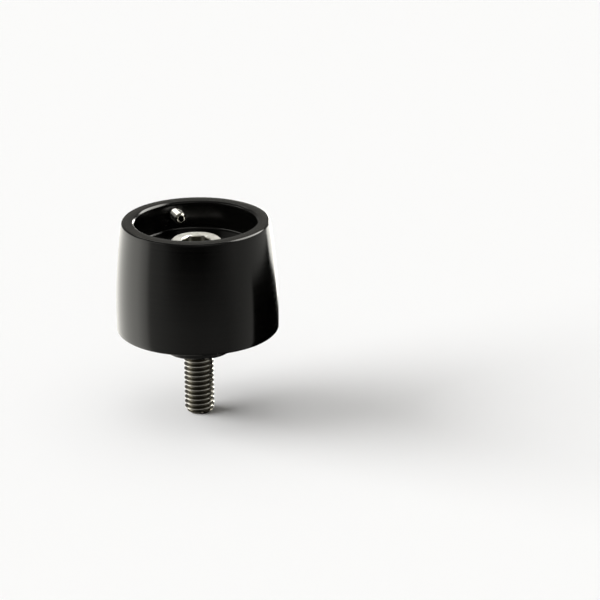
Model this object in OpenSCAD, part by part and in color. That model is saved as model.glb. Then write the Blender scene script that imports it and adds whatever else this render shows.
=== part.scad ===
// Bar end weight: a black turned weight that a cap screw holds to the open end of a handlebar.
// Upright, with its mouth up. The origin is the centre of the seat face, which meets the bar.

/* [Barrel] */
// Largest diameter of the weight
barrel_d = 32; // [27:0.5:40]
// Height above the seat face at which the barrel is widest
widest_h = 2.9; // [1:0.2:8]
// Height of the weight from its seat face to its rim
barrel_h = 22.3; // [20:0.1:28]
// How far the rim stands in from the widest part, on the radius
rim_inset = 1.5; // [0.5:0.1:2.5]
// Chamfer round the seat face
seat_chamfer = 0.25; // [0.1:0.05:0.8]
// Chamfer round the outside of the rim
rim_chamfer = 0.2; // [0.1:0.05:0.5]

/* [Mouth] */
// Width of the rim's flat ring, which is the wall round the mouth
rim_wall = 2.5; // [1.5:0.1:3.5]
// Depth of the mouth below the rim
mouth_depth = 5.8; // [4.6:0.1:8]
// Chamfer round the inside of the rim
mouth_chamfer = 0.35; // [0.1:0.05:0.8]
// Radius that the tool leaves in the corner of the mouth's floor
floor_r = 0.4; // [0.2:0.1:1]

/* [Pocket for the head] */
// Diameter of the pocket
pocket_d = 13.6; // [11:0.2:18]
// Chamfer round the edge of the pocket
pocket_chamfer = 0.4; // [0.1:0.1:1]

/* [Spigot] */
// Diameter of the spigot that enters the bar
spigot_d = 14; // [10:0.5:18]
// Height of the spigot below the seat face
spigot_h = 4.4; // [2:0.2:8]
// Chamfer round the end of the spigot
spigot_chamfer = 0.4; // [0.2:0.1:1]

/* [Cap screw] */
// Outside diameter of the cap screw's thread
thread_d = 6; // [5:0.5:8]
// Length of screw that stands out below the seat face
screw_out = 17.7; // [12:0.2:30]
// Chamfer at the screw's tip
tip_chamfer = 0.7; // [0.3:0.1:1.2]
// Diameter of the screw's head
head_d = 10; // [9:0.5:10.5]
// Height of the screw's head
head_h = 6; // [5:0.5:8]
// Depth of the head's top below the rim
head_drop = 4; // [3:0.1:6]
// Chamfer round the head's top
head_chamfer = 0.35; // [0.2:0.05:0.8]
// Radius under the head
neck_r = 0.25; // [0.1:0.05:0.5]
// Width of the hex socket across its flats
socket_w = 5; // [3:0.5:6]
// Depth of the hex socket's flats
socket_depth = 3.2; // [2:0.1:4]
// Turn of the socket about the screw, where the screw came up tight
socket_turn = -21; // [-30:1:30]

/* [Grub screw] */
// Outside diameter of the grub screw's thread
grub_d = 2.5; // [2:0.5:3.5]
// Length of the grub screw
grub_len = 5; // [4:0.5:6]
// Depth of the grub screw's axis below the rim
grub_drop = 2.5; // [2.2:0.1:3]
// Depth of the grub screw's outer end below the barrel's side
grub_sunk = 1; // [0.2:0.1:1.4]
// Diameter of the grub screw's cup point
cup_d = 1.2; // [0.8:0.1:1.4]
// Depth of the cup
cup_depth = 0.5; // [0.2:0.1:0.8]
// Chamfer round the grub screw's ends
grub_chamfer = 0.3; // [0.1:0.05:0.35]
// Width of the grub screw's hex socket across its flats
grub_socket_w = 1.3; // [0.9:0.1:1.5]
// Depth of the grub screw's hex socket
grub_socket_depth = 1.5; // [1:0.1:2]

/* [Fit] */
// Gap between each thread and its hole, all round
thread_gap = 0.02; // [0.01:0.01:0.05]
// Gap between the radius under the head and the chamfer of the hole
neck_gap = 0.25; // [0.1:0.05:0.5]

/* [Hidden] */
$fa = 2;
$fs = 0.2;
// Steps of the full circle that the barrel's long side arc is cut from
side_fn = 720;
// Steps of the small circles that make radii in corners
corner_fn = 72;
// Extra length that carries a cut or a blank clear of a face
over = 1;
// Side angle of the drilled point below a hex socket, and its share of the socket's width
point_angle = 59;
point_share = 0.9;
// Width of a hexagon across its corners, for each unit across its flats
hex_corners = 1 / cos(30);

barrel_r = barrel_d / 2;
rim_r = barrel_r - rim_inset;
mouth_r = rim_r - rim_wall;
pocket_r = pocket_d / 2;
spigot_r = spigot_d / 2;
thread_r = thread_d / 2;
head_r = head_d / 2;
grub_r = grub_d / 2;

// The barrel's side is one arc, upright at widest_h, that meets the rim at rim_r
taper_h = barrel_h - widest_h;
side_r = (taper_h * taper_h + rim_inset * rim_inset) / (2 * rim_inset);
side_x = barrel_r - side_r;

// Radius of the barrel's side at height z
function side_at(z) = side_x + sqrt(side_r * side_r - (z - widest_h) * (z - widest_h));

mouth_floor = barrel_h - mouth_depth;
head_top = barrel_h - head_drop;
head_seat = head_top - head_h;
hole_r = thread_r + thread_gap;
// The hole is chamfered past the radius under the head
hole_chamfer = neck_r + neck_gap;
grub_z = barrel_h - grub_drop;
grub_out = side_at(grub_z) - grub_sunk;
grub_tip = grub_out - grub_len;

// Half of the barrel's section, from the axis out, with its two outer chamfers
module barrel_section() {
  base_r = side_at(0) - seat_chamfer;
  edge_r = rim_r - rim_chamfer;
  reach = barrel_r + over;
  intersection() {
    translate([side_x, widest_h]) circle(r = side_r, $fn = side_fn);
    polygon([
      [0, 0],
      [base_r, 0],
      [reach, reach - base_r],
      [reach, barrel_h - (reach - edge_r)],
      [edge_r, barrel_h],
      [0, barrel_h]
    ]);
  }
}

// Half of the spigot's section, carried up into the barrel
module spigot_section() {
  polygon([
    [0, -spigot_h],
    [spigot_r - spigot_chamfer, -spigot_h],
    [spigot_r, spigot_chamfer - spigot_h],
    [spigot_r, over],
    [0, over]
  ]);
}

// Half of a 45 degree chamfer of the given size, round a hole of radius r that opens upwards at z
module chamfer_section(r, z, size) {
  polygon([
    [0, z - size],
    [r, z - size],
    [r + size + over, z + over],
    [0, z + over]
  ]);
}

// Half of the mouth, with the tool's radius in the corner of its floor
module mouth_section() {
  translate([0, mouth_floor]) {
    square([mouth_r - floor_r, mouth_depth + over]);
    translate([0, floor_r]) square([mouth_r, mouth_depth + over - floor_r]);
    translate([mouth_r - floor_r, floor_r]) circle(r = floor_r, $fn = corner_fn);
  }
  chamfer_section(mouth_r, barrel_h, mouth_chamfer);
}

// Half of the pocket that the screw's head sits in
module pocket_section() {
  translate([0, head_seat]) square([pocket_r, mouth_floor - head_seat + over]);
  chamfer_section(pocket_r, mouth_floor, pocket_chamfer);
}

// Half of the hole for the thread, chamfered at the pocket's floor and at the spigot's end
module hole_section() {
  translate([0, -spigot_h - over]) square([hole_r, head_seat + spigot_h + 2 * over]);
  chamfer_section(hole_r, head_seat, hole_chamfer);
  translate([0, -spigot_h]) mirror([0, 1]) chamfer_section(hole_r, 0, hole_chamfer);
}

// The tapped hole for the grub screw, through the wall of the mouth along +Y
module grub_hole() {
  translate([0, grub_tip, grub_z])
    rotate([-90, 0, 0]) cylinder(r = grub_r + thread_gap, h = barrel_r - grub_tip + over);
}

// The weight, turned from one bar: barrel, spigot, mouth, pocket and holes
module weight_body() {
  color([0.05, 0.05, 0.055]) difference() {
    rotate_extrude() difference() {
      union() {
        barrel_section();
        spigot_section();
      }
      mouth_section();
      pocket_section();
      hole_section();
    }
    grub_hole();
  }
}

// A hex socket sunk down from z = 0, with a drilled point below its flats
module hex_socket(width, depth) {
  point_r = point_share * width / 2;
  point_h = point_r / tan(point_angle);
  translate([0, 0, -depth]) cylinder(d = width * hex_corners, h = depth + over, $fn = 6);
  translate([0, 0, -depth - point_h]) cylinder(r1 = 0, r2 = point_r, h = point_h);
}

// Half of the cap screw's section, with its thread as a plain shank at full diameter
module cap_screw_section() {
  polygon([
    [0, -screw_out],
    [thread_r - tip_chamfer, -screw_out],
    [thread_r, tip_chamfer - screw_out],
    [thread_r, head_seat + over],
    [0, head_seat + over]
  ]);
  polygon([
    [0, head_seat],
    [head_r, head_seat],
    [head_r, head_top - head_chamfer],
    [head_r - head_chamfer, head_top],
    [0, head_top]
  ]);
  difference() {
    translate([0, head_seat - neck_r]) square([thread_r + neck_r, neck_r + over]);
    translate([thread_r + neck_r, head_seat - neck_r]) circle(r = neck_r, $fn = corner_fn);
  }
}

// The cap screw, whose head is seated on the pocket's floor
module cap_screw() {
  color("silver") difference() {
    rotate_extrude() cap_screw_section();
    translate([0, 0, head_top]) rotate(socket_turn) hex_socket(socket_w, socket_depth);
  }
}

// The grub screw, along +Y, with its cup point inwards and its hex socket outwards
module grub_screw() {
  color("silver") translate([0, grub_tip, grub_z]) rotate([-90, 0, 0]) difference() {
    rotate_extrude() polygon([
      [0, cup_depth],
      [cup_d / 2, 0],
      [grub_r - grub_chamfer, 0],
      [grub_r, grub_chamfer],
      [grub_r, grub_len - grub_chamfer],
      [grub_r - grub_chamfer, grub_len],
      [0, grub_len]
    ]);
    translate([0, 0, grub_len]) hex_socket(grub_socket_w, grub_socket_depth);
  }
}

weight_body();
cap_screw();
grub_screw();
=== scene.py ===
from math import atan2, cos, hypot, pi, radians, sin, sqrt, tan

import bmesh
import bpy
from mathutils import Matrix, Vector


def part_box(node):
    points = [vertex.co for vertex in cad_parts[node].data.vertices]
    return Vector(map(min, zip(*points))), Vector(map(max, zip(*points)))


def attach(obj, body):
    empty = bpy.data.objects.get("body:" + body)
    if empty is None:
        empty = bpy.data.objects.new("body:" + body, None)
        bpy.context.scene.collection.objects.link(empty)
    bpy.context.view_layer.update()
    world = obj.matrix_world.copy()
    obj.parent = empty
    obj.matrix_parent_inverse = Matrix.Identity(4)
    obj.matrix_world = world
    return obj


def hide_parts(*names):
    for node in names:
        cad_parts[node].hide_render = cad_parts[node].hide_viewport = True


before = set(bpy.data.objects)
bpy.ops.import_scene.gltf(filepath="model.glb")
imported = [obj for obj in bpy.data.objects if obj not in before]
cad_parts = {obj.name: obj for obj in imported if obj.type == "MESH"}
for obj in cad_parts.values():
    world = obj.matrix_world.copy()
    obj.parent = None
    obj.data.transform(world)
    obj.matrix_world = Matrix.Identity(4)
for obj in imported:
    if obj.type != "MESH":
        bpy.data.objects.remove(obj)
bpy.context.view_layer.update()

# The weight: one solid of aluminium, turned with its spigot, its mouth and the pocket for the screw's
# head, bored through, and tapped once through the wall of the mouth. It is anodised black, with a gloss.
mm = 0.001
weight_low, weight_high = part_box("weight_body")
barrel_r = weight_high.x
rim_z = weight_high.z
spigot_z = weight_low.z
widest_z = 2.9 * mm
rim_r = 14.5 * mm
seat_chamfer = 0.25 * mm
rim_chamfer = 0.2 * mm
mouth_r = 12 * mm
mouth_floor = rim_z - 5.8 * mm
mouth_chamfer = 0.35 * mm
floor_corner = 0.4 * mm
pocket_r = 6.8 * mm
pocket_chamfer = 0.4 * mm
head_seat = rim_z - 10 * mm
spigot_r = 7 * mm
spigot_chamfer = 0.4 * mm
hole_r = 3.02 * mm
hole_chamfer = 0.5 * mm
grub_hole_r = 1.27 * mm
grub_z = rim_z - 2.5 * mm
edge_break = 0.04 * mm
broken_angle = radians(25)
sharp_angle = radians(28)
merge_gap = 0.0005 * mm
turned_steps = 240
side_points = 22
corner_points = 5
chamfer_passes = 8
drill_steps = 64
drill_turn = 0.7 * pi / drill_steps
side_drop = barrel_r - rim_r
side_rise = rim_z - widest_z
side_arc_r = (side_rise ** 2 + side_drop ** 2) / (2 * side_drop)


def side_at(z):
    """Radius of the barrel's side at height z."""
    return barrel_r - side_arc_r + sqrt(side_arc_r ** 2 - (z - widest_z) ** 2)


def spun(bm, outline, steps, closed=False):
    """Turns an outline of (radius, height) points round the Z axis, and returns its new vertices."""
    verts = [bm.verts.new((r, 0, z)) for r, z in outline]
    ends = zip(verts, verts[1:] + verts[:1]) if closed else zip(verts, verts[1:])
    edges = [bm.edges.new(pair) for pair in ends]
    before = set(bm.verts) - set(verts)
    bmesh.ops.spin(bm, geom=verts + edges, cent=(0, 0, 0), axis=(0, 0, 1), angle=2 * pi, steps=steps,
                   use_merge=True)
    made = [v for v in bm.verts if v not in before]
    bmesh.ops.remove_doubles(bm, verts=made, dist=merge_gap)
    return [v for v in bm.verts if v not in before]


def filled(mesh, bm, sharp):
    """Puts a bmesh into a mesh that is smooth, with its edges sharp past an angle."""
    bm.to_mesh(mesh)
    bm.free()
    mesh.shade_smooth()
    mesh.set_sharp_from_angle(angle=sharp)
    return mesh


def finished(bm, name, sharp=sharp_angle):
    """Makes a piece from a bmesh, with its normals outwards."""
    bmesh.ops.recalc_face_normals(bm, faces=bm.faces)
    mesh = filled(bpy.data.meshes.new(name), bm, sharp)
    piece = bpy.data.objects.new(name, mesh)
    bpy.context.scene.collection.objects.link(piece)
    return piece


def weight_outline():
    """The weight's half section, from the hole's lower end outwards and round. The heights at which the
    two outer chamfers meet the side's arc are found in a few passes."""
    base_r = side_at(0) - seat_chamfer
    edge_r = rim_r - rim_chamfer
    low_z = seat_chamfer
    high_z = rim_z
    for _ in range(chamfer_passes):
        low_z = side_at(low_z) - base_r
        high_z = rim_z - (side_at(high_z) - edge_r)
    points = [(hole_r + hole_chamfer, spigot_z), (spigot_r - spigot_chamfer, spigot_z),
              (spigot_r, spigot_z + spigot_chamfer), (spigot_r, 0), (base_r, 0)]
    for i in range(side_points + 1):
        z = low_z + (high_z - low_z) * i / side_points
        points.append((side_at(z), z))
    points += [(edge_r, rim_z), (mouth_r + mouth_chamfer, rim_z), (mouth_r, rim_z - mouth_chamfer)]
    for i in range(corner_points + 1):
        turn = pi / 2 * i / corner_points
        points.append((mouth_r - floor_corner * (1 - cos(turn)),
                       mouth_floor + floor_corner * (1 - sin(turn))))
    points += [(pocket_r + pocket_chamfer, mouth_floor), (pocket_r, mouth_floor - pocket_chamfer),
               (pocket_r, head_seat), (hole_r + hole_chamfer, head_seat),
               (hole_r, head_seat - hole_chamfer), (hole_r, spigot_z + hole_chamfer)]
    return points


bm = bmesh.new()
spun(bm, weight_outline(), turned_steps, closed=True)
bmesh.ops.recalc_face_normals(bm, faces=bm.faces)
corners = [e for e in bm.edges if len(e.link_faces) == 2 and e.calc_face_angle() > broken_angle]
bmesh.ops.bevel(bm, geom=corners, offset=edge_break, offset_type="OFFSET", segments=2, profile=0.5,
                affect="EDGES", material=-1, clamp_overlap=True)
weight = finished(bm, "weight")

# The drill is turned so that its corners stay off the lines of the turned mesh.
bm = bmesh.new()
bmesh.ops.create_cone(bm, cap_ends=True, segments=drill_steps, radius1=grub_hole_r, radius2=grub_hole_r,
                      depth=barrel_r)
bmesh.ops.rotate(bm, verts=bm.verts, cent=(0, 0, 0), matrix=Matrix.Rotation(drill_turn, 3, "Z"))
bmesh.ops.rotate(bm, verts=bm.verts, cent=(0, 0, 0), matrix=Matrix.Rotation(pi / 2, 3, "X"))
bmesh.ops.translate(bm, verts=bm.verts, vec=(0, barrel_r, grub_z))
drill = finished(bm, "drill")
cut = weight.modifiers.new("grub screw hole", "BOOLEAN")
cut.operation = "DIFFERENCE"
cut.solver = "EXACT"
cut.object = drill
drilled = bpy.data.meshes.new_from_object(weight.evaluated_get(bpy.context.evaluated_depsgraph_get()))
weight.modifiers.clear()
weight.data = drilled
drilled.name = "weight"
bpy.data.objects.remove(drill)

# The cut's doubled points and slivers are taken out, so that the weight stays one closed skin.
bm = bmesh.new()
bm.from_mesh(drilled)
bmesh.ops.remove_doubles(bm, verts=bm.verts, dist=merge_gap)
bmesh.ops.triangulate(bm, faces=[face for face in bm.faces if len(face.verts) > 4],
                      quad_method="BEAUTY", ngon_method="BEAUTY")
bmesh.ops.dissolve_degenerate(bm, edges=bm.edges, dist=merge_gap)
filled(drilled, bm, sharp_angle)


def new_material(name):
    """An empty node material, its links' maker and its Principled shader."""
    material = bpy.data.materials.new(name)
    material.use_nodes = True
    nodes = material.node_tree.nodes
    return material, nodes, material.node_tree.links, nodes["Principled BSDF"]


def add_node(nodes, kind, **values):
    """A node whose inputs, or else its settings, take the values given."""
    made = nodes.new(kind)
    for name, value in values.items():
        label = name.replace("_", " ")
        if label in made.inputs:
            made.inputs[label].default_value = value
        else:
            setattr(made, name, value)
    return made


def two_tones(nodes, links, value, dark, light, dark_at, light_at):
    """A colour that goes from dark to light as a value goes from one level to another."""
    ramp = add_node(nodes, "ShaderNodeValToRGB")
    dark_stop, light_stop = ramp.color_ramp.elements
    dark_stop.position = dark_at
    dark_stop.color = (*dark, 1)
    light_stop.position = light_at
    light_stop.color = (*light, 1)
    links.new(value, ramp.inputs["Fac"])
    return ramp.outputs["Color"]


def turned_marks_group():
    """The lathe's fine rings, which follow the radius on a flat face and the height on a side, soft
    patches, and each point's reach from the axis."""
    group = bpy.data.node_groups.new("turned marks", "ShaderNodeTree")
    group.interface.new_socket("Vector", in_out="INPUT", socket_type="NodeSocketVector")
    for name in ("Rings per metre", "Patches per metre"):
        group.interface.new_socket(name, in_out="INPUT", socket_type="NodeSocketFloat")
    for name in ("Rings", "Patches", "Reach"):
        group.interface.new_socket(name, in_out="OUTPUT", socket_type="NodeSocketFloat")
    nodes, links = group.nodes, group.links
    taken = nodes.new("NodeGroupInput")
    given = nodes.new("NodeGroupOutput")
    split = add_node(nodes, "ShaderNodeSeparateXYZ")
    links.new(taken.outputs["Vector"], split.inputs[0])
    flat = add_node(nodes, "ShaderNodeCombineXYZ")
    links.new(split.outputs["X"], flat.inputs["X"])
    links.new(split.outputs["Y"], flat.inputs["Y"])
    reach = add_node(nodes, "ShaderNodeVectorMath", operation="LENGTH")
    links.new(flat.outputs[0], reach.inputs[0])
    section = add_node(nodes, "ShaderNodeCombineXYZ")
    links.new(reach.outputs["Value"], section.inputs["X"])
    links.new(reach.outputs["Value"], given.inputs["Reach"])
    links.new(split.outputs["Z"], section.inputs["Y"])
    rings = add_node(nodes, "ShaderNodeTexNoise", Detail=3.0, Roughness=0.65)
    rings.noise_dimensions = "2D"
    links.new(section.outputs[0], rings.inputs["Vector"])
    links.new(taken.outputs["Rings per metre"], rings.inputs["Scale"])
    links.new(rings.outputs["Fac"], given.inputs["Rings"])
    patches = add_node(nodes, "ShaderNodeTexNoise", Detail=2.0)
    links.new(taken.outputs["Patches per metre"], patches.inputs["Scale"])
    links.new(taken.outputs["Vector"], patches.inputs["Vector"])
    links.new(patches.outputs["Fac"], given.inputs["Patches"])
    return group


turned_marks = turned_marks_group()
anodise_ior = 1.35
anodise_rings = 2600.0
anodise_dark = (0.0006, 0.0006, 0.0006)
anodise_light = (0.0021, 0.002, 0.0017)
rim_dark = (0.0005, 0.0005, 0.0005)
# The rim's light tone: the rings' light stripes and a painted sheen that makes the rim face lighter than
# the side.
rim_sheen_light = (0.019, 0.0175, 0.0145)
rim_skin = 0.02 * mm
anodise_rough = (0.07, 0.18)
bore_extra_rough = 0.06
bore_edge = (mouth_r + 0.1 * mm, mouth_r + 0.2 * mm)
anodise_relief = 0.0013 * mm


def black_anodise():
    """Gloss black anodising with the lathe's rings faint in it, duller in the bore. On the rim face the
    rings are clearer, on a painted sheen that makes the face lighter than the side."""
    material, nodes, links, shader = new_material("black anodise")
    shader.inputs["Metallic"].default_value = 0.0
    shader.inputs["IOR"].default_value = anodise_ior
    shader.inputs["Specular IOR Level"].default_value = 0.5
    place = add_node(nodes, "ShaderNodeTexCoord")
    marks = add_node(nodes, "ShaderNodeGroup", node_tree=turned_marks)
    marks.inputs["Rings per metre"].default_value = anodise_rings
    links.new(place.outputs["Object"], marks.inputs["Vector"])
    rings = marks.outputs["Rings"]
    side_tint = two_tones(nodes, links, rings, anodise_dark, anodise_light, dark_at=0.38, light_at=0.66)
    # On the rim face, the rings lie on a painted sheen, lighter than the side.
    rim_rings_and_sheen = two_tones(nodes, links, rings, rim_dark, rim_sheen_light, dark_at=0.42, light_at=0.6)
    parts = add_node(nodes, "ShaderNodeSeparateXYZ")
    links.new(place.outputs["Object"], parts.inputs[0])
    on_rim = add_node(nodes, "ShaderNodeMath", operation="GREATER_THAN")
    links.new(parts.outputs["Z"], on_rim.inputs[0])
    on_rim.inputs[1].default_value = rim_z - rim_skin
    finish = add_node(nodes, "ShaderNodeMix", data_type="RGBA")
    links.new(on_rim.outputs[0], finish.inputs["Factor"])
    links.new(side_tint, finish.inputs["A"])
    links.new(rim_rings_and_sheen, finish.inputs["B"])
    links.new(finish.outputs["Result"], shader.inputs["Base Color"])
    rough = add_node(nodes, "ShaderNodeMapRange", To_Min=anodise_rough[0], To_Max=anodise_rough[1])
    links.new(rings, rough.inputs["Value"])
    bore = add_node(nodes, "ShaderNodeMapRange", From_Min=bore_edge[0], From_Max=bore_edge[1],
                    To_Min=bore_extra_rough, To_Max=0.0)
    links.new(marks.outputs["Reach"], bore.inputs["Value"])
    duller = add_node(nodes, "ShaderNodeMath", operation="ADD")
    links.new(rough.outputs["Result"], duller.inputs[0])
    links.new(bore.outputs["Result"], duller.inputs[1])
    links.new(duller.outputs[0], shader.inputs["Roughness"])
    relief = add_node(nodes, "ShaderNodeBump", Strength=1.0, Distance=anodise_relief)
    links.new(rings, relief.inputs["Height"])
    links.new(relief.outputs["Normal"], shader.inputs["Normal"])
    return material


weight.data.materials.append(black_anodise())
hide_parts("weight_body")
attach(weight, "root")

# The cap screw: a stainless M6 x 30 socket head cap screw with a rolled thread and a knurled head.
# It is screwed down through the weight until its head sits on the floor of the pocket.
screw_low, screw_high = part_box("cap_screw")
screw_tip = screw_low.z
head_top = screw_high.z
head_r = screw_high.x
head_chamfer = 0.35 * mm
neck_r = 0.25 * mm
thread_r = 2.94 * mm
thread_pitch = 1 * mm
thread_depth = 0.613 * mm
flank_angle = radians(30)
flank_parts = 4
flank_share = 0.96
spare_turns = 1.5
thread_steps = 96
run_out_low = 9 * mm
run_out_high = 11.4 * mm
tip_chamfer = 0.7 * mm
tip_least = 1.6 * tip_chamfer
tip_face_inset = 0.12 * mm
dimple_r = 1.4 * mm
dimple_step_r = 0.9 * mm
dimple_step = 0.1 * mm
dimple_depth = 0.18 * mm
neck_start = 0.96
head_steps = 240
head_edge = 0.1 * mm
knurl_teeth = 60
knurl_depth = 0.11 * mm
knurl_low = head_seat + 0.5 * mm
knurl_high = head_seat + 5.3 * mm
knurl_fade = 0.3 * mm
screw_sharp_angle = radians(24)
socket_w = 5 * mm
socket_depth = 3.2 * mm
socket_turn = radians(-21)
socket_lead = 0.04 * mm
countersink = radians(35)
mouth_ring_share = 1.1
mouth_ring_drop = 0.05 * mm
foot_ring_share = 1.09
point_angle = radians(59)
point_share = 0.9
place_gap = 0.001 * mm


def thread_line(pitch, depth, crest_r, low, high):
    """A thread's outline of (radius, height) points: a flat crest of an eighth of the pitch, straight
    flanks and a round root."""
    crest = pitch / 8
    flank = depth * tan(flank_angle)
    root = pitch - crest - 2 * flank
    parts = [k / flank_parts for k in range(1, flank_parts)] + [flank_share]
    turn = [(crest_r, 0), (crest_r, crest)]
    turn += [(crest_r - depth * part, crest + flank * part) for part in parts]
    turn += [(crest_r - depth, crest + flank + root / 2)]
    turn += [(crest_r - depth * part, pitch - flank * part) for part in reversed(parts)]
    count = int((high - low) / pitch) + int(2 * spare_turns)
    start = low - spare_turns * pitch
    return [(r, start + n * pitch + z) for n in range(count) for r, z in turn]


def draw_out(v, share):
    """Moves a vertex out from the Z axis, or in to it, to a share of its reach."""
    v.co.x *= share
    v.co.y *= share


def threaded_shank(bm, pitch, depth, crest_r, low, high, steps, limits):
    """A right-hand thread between two heights, open at both ends. The function limits gives the least and
    the most radius at a height."""
    seam_gap = pitch / 400
    cut_gap = pitch / 1000
    outline = thread_line(pitch, depth, crest_r, low, high)
    verts = [bm.verts.new((r, 0, z)) for r, z in outline]
    edges = [bm.edges.new(pair) for pair in zip(verts, verts[1:])]
    bmesh.ops.spin(bm, geom=verts + edges, cent=(0, 0, 0), axis=(0, 0, 1), angle=2 * pi, steps=steps,
                   dvec=(0, 0, pitch / steps), use_merge=False)
    bmesh.ops.remove_doubles(bm, verts=bm.verts, dist=seam_gap)
    for v in bm.verts:
        r = hypot(v.co.x, v.co.y)
        least, most = limits(v.co.z)
        draw_out(v, min(max(r, least), most) / r)
    for height, up in ((low, -1), (high, 1)):
        bmesh.ops.bisect_plane(bm, geom=bm.verts[:] + bm.edges[:] + bm.faces[:], dist=cut_gap,
                               plane_co=(0, 0, height), plane_no=(0, 0, up), clear_outer=True)


def open_edges(bm, height):
    """The open edges at one height."""
    return [e for e in bm.edges if len(e.link_faces) == 1
            and all(abs(v.co.z - height) < 2 * place_gap for v in e.verts)]


def hexagon_at(angle, width):
    """Radius of a hexagon's outline at an angle from one of its corners."""
    return width / 2 / cos(angle % (pi / 3) - pi / 6)


def hex_socket_outline(width, top, lip_r, bottom):
    """The rings of a hex socket, from its edge inwards: its mouth, its flats and its drilled point."""
    point_r = point_share * width / 2
    return [(lip_r, top), (width / 2 * mouth_ring_share, top - mouth_ring_drop),
            (width / 2 * foot_ring_share, bottom), (point_r, bottom),
            (0, bottom - point_r / tan(point_angle))]


def is_at(v, reach, height):
    """Whether a vertex lies at a reach from the Z axis and at a height."""
    return (abs(hypot(v.co.x, v.co.y) - reach) < place_gap
            and abs(v.co.z - height) < place_gap)


def shape_socket(verts, width, top, lip_r, bottom, turn):
    """Moves a socket's mouth and foot rings out to the hexagon, the mouth down its countersink."""
    for v in verts:
        is_mouth = is_at(v, width / 2 * mouth_ring_share, top - mouth_ring_drop)
        is_foot = is_at(v, width / 2 * foot_ring_share, bottom)
        if is_mouth or is_foot:
            hexed = hexagon_at(atan2(v.co.y, v.co.x) - turn, width)
            draw_out(v, hexed / hypot(v.co.x, v.co.y))
            if is_mouth:
                v.co.z = top - (lip_r - hexed) * tan(countersink)


def screw_limits(z):
    """Least and most radius of the cap screw's shank, for its run-out under the head and its tip."""
    done = min(max((z - run_out_low) / (run_out_high - run_out_low), 0), 1)
    least = thread_r - thread_depth * (1 - done)
    most = min(thread_r, thread_r - tip_chamfer + (z - screw_tip))
    return min(least, most), max(most, thread_r - tip_least)


bm = bmesh.new()
threaded_shank(bm, thread_pitch, thread_depth, thread_r, screw_tip, head_seat - neck_r, thread_steps,
               screw_limits)
spun(bm, [(thread_r - tip_chamfer - tip_face_inset, screw_tip), (dimple_r, screw_tip),
          (dimple_step_r, screw_tip + dimple_step), (0, screw_tip + dimple_depth)], thread_steps)
bmesh.ops.bridge_loops(bm, edges=open_edges(bm, screw_tip))
socket_lip_r = hexagon_at(0, socket_w) + socket_lead
socket_floor = head_top - socket_depth
head = [(thread_r, head_seat - neck_r * neck_start)]
for i in range(1, corner_points + 1):
    bend = pi / 2 * i / corner_points
    head.append((thread_r + neck_r * (1 - cos(bend)), head_seat - neck_r * (1 - sin(bend))))
head += [(head_r - head_edge, head_seat), (head_r, head_seat + head_edge), (head_r, knurl_low),
         (head_r, knurl_low + knurl_fade), (head_r, knurl_high - knurl_fade), (head_r, knurl_high),
         (head_r, head_top - head_chamfer), (head_r - head_chamfer, head_top)]
head += hex_socket_outline(socket_w, head_top, socket_lip_r, socket_floor)
head_verts = spun(bm, head, head_steps)
shape_socket(head_verts, socket_w, head_top, socket_lip_r, socket_floor, socket_turn)
for v in head_verts:
    on_side = abs(hypot(v.co.x, v.co.y) - head_r) < place_gap
    if on_side and knurl_low + knurl_fade / 2 < v.co.z < knurl_high - knurl_fade / 2:
        tooth = (atan2(v.co.y, v.co.x) / (2 * pi) * knurl_teeth) % 1
        draw_out(v, 1 - knurl_depth / head_r * abs(2 * tooth - 1))
bmesh.ops.bridge_loops(bm, edges=open_edges(bm, head_seat - neck_r)
                       + open_edges(bm, head_seat - neck_r * neck_start))
screw = finished(bm, "cap_screw_m6", sharp=screw_sharp_angle)

steel_patches = 900.0
steel_relief = 0.002 * mm
# On the head the reach counts this much further out, so less of the head takes the painted shade, which
# keeps to the socket.
head_reach_shift = 0.1 * mm


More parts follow.
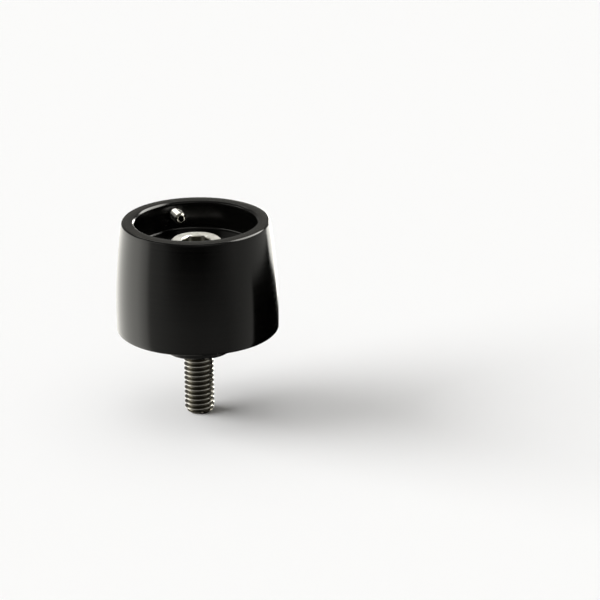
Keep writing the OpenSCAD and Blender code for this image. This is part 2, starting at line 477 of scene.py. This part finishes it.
def stainless(name, light, dark, shade_and_grime, groove, rough_range, rings, thread_tint_share=1.0, satin=0.0,
              turn=(0, 0, 0), centre=(0, 0, 0)):
    """Stainless steel with the lathe's rings and stains, and painted shade with some grime in its grooves
    and hollows and over its thread. From the height of the head's seat on, measured along the screw's own
    axis, it has less of the painted shade and is more satin."""
    material, nodes, links, shader = new_material(name)
    shader.inputs["Metallic"].default_value = 1.0
    place = add_node(nodes, "ShaderNodeTexCoord")
    upright = add_node(nodes, "ShaderNodeMapping", vector_type="TEXTURE")
    upright.inputs["Location"].default_value = centre
    upright.inputs["Rotation"].default_value = turn
    links.new(place.outputs["Object"], upright.inputs["Vector"])
    marks = add_node(nodes, "ShaderNodeGroup", node_tree=turned_marks)
    marks.inputs["Rings per metre"].default_value = rings
    marks.inputs["Patches per metre"].default_value = steel_patches
    links.new(upright.outputs["Vector"], marks.inputs["Vector"])
    tint = two_tones(nodes, links, marks.outputs["Patches"], dark, light, dark_at=0.3, light_at=0.62)
    # Painted shade, with some grime: towards a groove's root or a hollow the tint gives way to the dark
    # colour.
    tint_share = add_node(nodes, "ShaderNodeMapRange", interpolation_type="SMOOTHSTEP",
                     From_Min=groove[0], From_Max=groove[1])
    parts = add_node(nodes, "ShaderNodeSeparateXYZ")
    links.new(upright.outputs["Vector"], parts.inputs[0])
    on_head = add_node(nodes, "ShaderNodeMath", operation="GREATER_THAN")
    links.new(parts.outputs["Z"], on_head.inputs[0])
    on_head.inputs[1].default_value = head_seat
    spread = add_node(nodes, "ShaderNodeMath", operation="MULTIPLY_ADD")
    links.new(on_head.outputs[0], spread.inputs[0])
    spread.inputs[1].default_value = head_reach_shift
    links.new(marks.outputs["Reach"], spread.inputs[2])
    links.new(spread.outputs[0], tint_share.inputs["Value"])
    # On the thread the tint never shows fully, so painted shade darkens the whole thread.
    tint_most = add_node(nodes, "ShaderNodeMath", operation="MULTIPLY_ADD")
    links.new(on_head.outputs[0], tint_most.inputs[0])
    tint_most.inputs[1].default_value = 1 - thread_tint_share
    tint_most.inputs[2].default_value = thread_tint_share
    links.new(tint_most.outputs[0], tint_share.inputs["To Max"])
    shade_and_dirt = add_node(nodes, "ShaderNodeMix", data_type="RGBA")
    links.new(tint_share.outputs["Result"], shade_and_dirt.inputs["Factor"])
    shade_and_dirt.inputs["A"].default_value = (*shade_and_grime, 1)
    links.new(tint, shade_and_dirt.inputs["B"])
    links.new(shade_and_dirt.outputs["Result"], shader.inputs["Base Color"])
    rough = add_node(nodes, "ShaderNodeMapRange", To_Min=rough_range[0], To_Max=rough_range[1])
    links.new(marks.outputs["Rings"], rough.inputs["Value"])
    duller = add_node(nodes, "ShaderNodeMath", operation="MULTIPLY_ADD")
    links.new(on_head.outputs[0], duller.inputs[0])
    duller.inputs[1].default_value = satin
    links.new(rough.outputs["Result"], duller.inputs[2])
    links.new(duller.outputs[0], shader.inputs["Roughness"])
    relief = add_node(nodes, "ShaderNodeBump", Strength=1.0, Distance=steel_relief)
    links.new(marks.outputs["Rings"], relief.inputs["Height"])
    links.new(relief.outputs["Normal"], shader.inputs["Normal"])
    return material


# The dark colour is painted shade, with some grime, in the thread's grooves, over the thread and in the
# socket.
screw_steel = stainless("screw steel", light=(0.7, 0.69, 0.67), dark=(0.52, 0.51, 0.48),
                        shade_and_grime=(0.13, 0.122, 0.1), groove=(2.66 * mm, thread_r),
                        rough_range=(0.12, 0.26), rings=3000.0, thread_tint_share=0.56, satin=0.22)
screw.data.materials.append(screw_steel)
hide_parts("cap_screw")
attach(screw, "root")

# The grub screw: a stainless M2.5 x 5 set screw with a cup point and a 1.3 mm hex socket.
# It is screwed in through the wall of the mouth, so that its point stands out into the mouth.
grub_low, grub_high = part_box("grub_screw")
grub_point = grub_low.y
grub_len = grub_high.y - grub_low.y
grub_r = grub_high.x
grub_pitch = 0.45 * mm
grub_depth = 0.276 * mm
grub_chamfer = 0.3 * mm
grub_steps = 72
cup_r = 0.6 * mm
cup_depth = 0.5 * mm
cup_edge = 0.05 * mm
cup_edge_depth = 0.03 * mm
point_r = 0.78 * mm
end_inset = 0.05 * mm
grub_socket_w = 1.3 * mm
grub_socket_depth = 1.5 * mm
grub_socket_lead = 0.05 * mm


def grub_limits(z):
    """Least and most radius of the grub screw, for the cone down to its point and its outer chamfer."""
    most = min(point_r + z, grub_r - grub_chamfer + grub_len - z)
    return 0, min(grub_r, max(most, point_r))


bm = bmesh.new()
threaded_shank(bm, grub_pitch, grub_depth, grub_r, 0, grub_len, grub_steps, grub_limits)
spun(bm, [(cup_r, 0), (cup_r - cup_edge, cup_edge_depth), (0, cup_depth)], grub_steps)
bmesh.ops.bridge_loops(bm, edges=open_edges(bm, 0))
grub_lip_r = hexagon_at(0, grub_socket_w) + grub_socket_lead
grub_socket_floor = grub_len - grub_socket_depth
grub_end = [(grub_r - grub_chamfer - end_inset, grub_len)]
grub_end += hex_socket_outline(grub_socket_w, grub_len, grub_lip_r, grub_socket_floor)
grub_end_verts = spun(bm, grub_end, grub_steps)
shape_socket(grub_end_verts, grub_socket_w, grub_len, grub_lip_r, grub_socket_floor, 0)
bmesh.ops.bridge_loops(bm, edges=open_edges(bm, grub_len))
into_wall = Matrix.Translation((0, grub_point, grub_z)) @ Matrix.Rotation(-pi / 2, 4, "X")
bmesh.ops.transform(bm, matrix=into_wall, verts=bm.verts)
grub = finished(bm, "grub_screw_m2.5", sharp=screw_sharp_angle)
# The dark colour is painted shade, with some grime, in the thread's grooves, the cup and the socket.
grub_steel = stainless("grub screw steel", light=(0.88, 0.87, 0.85), dark=(0.76, 0.75, 0.72),
                       shade_and_grime=(0.16, 0.155, 0.14), groove=(1.05 * mm, 1.2 * mm),
                       rough_range=(0.1, 0.2), rings=5000.0, turn=(-pi / 2, 0, 0),
                       centre=(0, 0, grub_z))
grub.data.materials.append(grub_steel)
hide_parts("grub_screw")
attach(grub, "root")

# The floor: a wide sheet of white paper, lit evenly, that the screw's tip stands on. It isn't part of
# the object, and the gloss doesn't show it.
floor_half = 4.0
floor_tone = 0.9
bm = bmesh.new()
bmesh.ops.create_grid(bm, x_segments=1, y_segments=1, size=floor_half)
bmesh.ops.translate(bm, verts=bm.verts, vec=(0, 0, screw_tip))
paper = finished(bm, "paper")
paper_material, _, _, paper_shader = new_material("white paper")
paper_shader.inputs["Roughness"].default_value = 1.0
paper_shader.inputs["Specular IOR Level"].default_value = 0.0
paper_shader.inputs["Base Color"].default_value = (floor_tone, floor_tone, floor_tone, 1)
paper.data.materials.append(paper_material)
paper.visible_glossy = False

# The studio: a broad low light from the left, a soft one overhead, and an even fill. The gloss shows a
# room of its own: bright at the left and behind, dim in front, with a black screen and a soft box at the
# right. Bearings run from 0 at the camera round to its right, and heights up from level, in degrees.
scene = bpy.context.scene
scene.view_settings.view_transform = "Standard"
camera_turn = radians(-21)


def soft_light(name, energy, angle, lean):
    """A soft lamp that leans from overhead towards the camera's left."""
    lamp = bpy.data.lights.new(name, "SUN")
    lamp.energy = energy
    lamp.angle = radians(angle)
    placed = bpy.data.objects.new(name, lamp)
    placed.matrix_world = (Matrix.Rotation(camera_turn, 4, "Z")
                           @ Matrix.Rotation(radians(-lean), 4, "Y"))
    placed.visible_glossy = False
    scene.collection.objects.link(placed)


soft_light("low light", energy=4.15, angle=60, lean=66)
soft_light("overhead light", energy=1.01, angle=90, lean=12)

world = bpy.data.worlds.new("studio")
scene.world = world
world.use_nodes = True
nodes, links = world.node_tree.nodes, world.node_tree.links
nodes.clear()


def calc(operation, *values, clamp=False):
    """A math node on numbers or sockets, and its result."""
    made = nodes.new("ShaderNodeMath")
    made.operation = operation
    made.use_clamp = clamp
    for i, value in enumerate(values):
        if isinstance(value, (int, float)):
            made.inputs[i].default_value = value
        else:
            links.new(value, made.inputs[i])
    return made.outputs[0]


def plus(first, second):
    """The sum of two values."""
    return calc("ADD", first, second)


def times(first, second):
    """The product of two values."""
    return calc("MULTIPLY", first, second)


def less(share):
    """What a share leaves of one."""
    return calc("SUBTRACT", 1, share)


def between(first, second, share):
    """A value that goes from the first to the second by a share."""
    return plus(times(first, less(share)), times(second, share))


def ranged(value, low, high, to_low, to_high, smooth=False):
    """A value carried from one range to another."""
    made = add_node(nodes, "ShaderNodeMapRange", From_Min=low, From_Max=high, To_Min=to_low,
                    To_Max=to_high, interpolation_type="SMOOTHSTEP" if smooth else "LINEAR")
    links.new(value, made.inputs["Value"])
    return made.outputs["Result"]


def rise(value, start, end):
    """A share that goes smoothly from none at the start to all at the end."""
    return ranged(value, start, end, 0, 1, smooth=True)


def fall(value, start, end):
    """A share that goes smoothly from all at the start to none at the end."""
    return ranged(value, start, end, 1, 0, smooth=True)


direction = add_node(nodes, "ShaderNodeTexCoord")
facing = add_node(nodes, "ShaderNodeMapping", vector_type="TEXTURE")
facing.inputs["Rotation"].default_value = (0, 0, camera_turn)
links.new(direction.outputs["Generated"], facing.inputs["Vector"])
parts = add_node(nodes, "ShaderNodeSeparateXYZ")
links.new(facing.outputs["Vector"], parts.inputs[0])
to_degrees = 180 / pi
around = times(calc("ARCTAN2", parts.outputs["X"], times(parts.outputs["Y"], -1)), to_degrees)
height = times(calc("ARCSINE", parts.outputs["Z"]), to_degrees)
turn_share = calc("MULTIPLY_ADD", around, 1 / 360, 0.5)
room_peak = 4.0


def room_ring(stops):
    """Brightness round the room, from stops of bearing and brightness."""
    ring = nodes.new("ShaderNodeValToRGB")
    elements = ring.color_ramp.elements
    elements.remove(elements[-1])
    for i, (degrees, level) in enumerate(stops):
        spot = degrees / 360 + 0.5
        stop = elements[0] if i == 0 else elements.new(spot)
        stop.position = spot
        stop.color = (level / room_peak,) * 3 + (1,)
    links.new(turn_share, ring.inputs["Fac"])
    return times(ring.outputs["Color"], room_peak)


def room_window(left, right, low, high, soft, level):
    """A bright window in the room between two bearings and two heights, with soft edges."""
    sides = times(rise(around, left - soft, left + soft), fall(around, right - soft, right + soft))
    ends = times(rise(height, low - soft, low + soft), fall(height, high - soft, high + soft))
    return times(times(sides, ends), level)


# Low in the room: a ring near the floor and one at the object's level, both dim towards the floor. A
# black screen stands at the right, with a window past a slanted edge behind it, and a dark gap is behind
# at the left.
low_ring = room_ring([(-180, 1.0), (-150, 2.3), (-113, 2.75), (-92, 3.2), (-76, 2.15), (-69, 0.9),
                      (-49, 0.68), (-20, 0.45), (0, 0.38), (45, 0.42), (70, 0.7), (90, 0.95),
                      (180, 0.8)])
level_ring = room_ring([(-180, 1.0), (-150, 2.3), (-113, 2.75), (-92, 3.2), (-76, 2.15), (-69, 0.85),
                        (-49, 0.6), (-35, 0.2), (-18, 0.04), (12, 0.02), (35, 0.2), (60, 0.58),
                        (112, 0.85), (180, 0.8)])
ring_heights = (-4.5, -19)
screen_side = (85, 89)
screen_top = (-13.6, -12)
slant_heights = (-15, -20)
slant_bearings = (135, 162)
slant_softness = 0.25
slant_foot = (-20.2, -19.6)
slant_level = 4.0
floor_heights = (-50, -28)
floor_share = 0.2
gap_side = (-125, -140)
gap_foot = (-9, -4)
gap_share = 0.85
below = between(level_ring, low_ring, ranged(height, *ring_heights, 0, 1))
screen = times(rise(around, *screen_side), fall(height, *screen_top))
below = times(below, less(screen))
past_slant = calc("SUBTRACT", around, ranged(height, *slant_heights, *slant_bearings))
slant = times(calc("MULTIPLY", past_slant, slant_softness, clamp=True), rise(height, *slant_foot))
below = plus(below, times(slant, slant_level))
below = times(below, ranged(height, *floor_heights, floor_share, 1, smooth=True))
dark_gap = times(rise(around, *gap_side), rise(height, *gap_foot))
below = times(below, less(times(dark_gap, gap_share)))

# High in the room: an even ceiling, brighter overhead, a soft box at the right, a window at the left and
# one in front, and a broad light behind. One small window stands low behind, at the right.
ceiling_level = 0.28
overhead_heights = (60, 80)
overhead_level = 0.3
behind_depth = (0.3, 0.6)
behind_heights = (32, 46)
behind_level = 4.4
ceiling_foot = (2, 12)
above = plus(ceiling_level, room_window(left=84, right=136, low=23, high=60, soft=4, level=12))
above = plus(above, room_window(left=-102, right=-50, low=20, high=38, soft=4, level=4))
above = plus(above, room_window(left=0, right=50, low=24, high=42, soft=4, level=2.2))
behind = times(rise(parts.outputs["Y"], *behind_depth), rise(height, *behind_heights))
above = plus(above, times(behind, behind_level))
above = plus(above, ranged(height, *overhead_heights, 0, overhead_level, smooth=True))
light = between(below, above, rise(height, *ceiling_foot))
light = plus(light, room_window(left=152, right=172, low=0, high=9, soft=2, level=12))

room = add_node(nodes, "ShaderNodeBackground", Color=(1, 0.985, 0.92, 1))
links.new(light, room.inputs["Strength"])
white = add_node(nodes, "ShaderNodeBackground", Color=(1, 1, 1, 1), Strength=0.955)
fill = add_node(nodes, "ShaderNodeBackground", Color=(1, 0.98, 0.93, 1), Strength=0.22)
rays = add_node(nodes, "ShaderNodeLightPath")
by_gloss = add_node(nodes, "ShaderNodeMixShader")
links.new(rays.outputs["Is Glossy Ray"], by_gloss.inputs["Fac"])
links.new(fill.outputs[0], by_gloss.inputs[1])
links.new(room.outputs[0], by_gloss.inputs[2])
by_camera = add_node(nodes, "ShaderNodeMixShader")
links.new(rays.outputs["Is Camera Ray"], by_camera.inputs["Fac"])
links.new(by_gloss.outputs[0], by_camera.inputs[1])
links.new(white.outputs[0], by_camera.inputs[2])
sky = add_node(nodes, "ShaderNodeOutputWorld")
links.new(by_camera.outputs[0], sky.inputs["Surface"])

# The camera: a long lens, a little above the object and to its left, with the photograph's framing. It
# looks down at the angle of the photograph, and is rolled a little.
camera_place = Vector((-179.9, -525.1, 211.0)) * mm
camera_look_down = radians(20.33)
camera_roll = radians(-0.56)
camera_data = bpy.data.cameras.new("camera")
camera_data.lens = 180
camera_data.sensor_width = 36
camera_data.clip_start = 0.05
camera_data.clip_end = 20
camera = bpy.data.objects.new("camera", camera_data)
camera.matrix_world = (Matrix.Translation(camera_place)
                       @ Matrix.Rotation(camera_turn, 4, "Z")
                       @ Matrix.Rotation(pi / 2 - camera_look_down, 4, "X")
                       @ Matrix.Rotation(camera_roll, 4, "Z"))
scene.collection.objects.link(camera)
scene.camera = camera
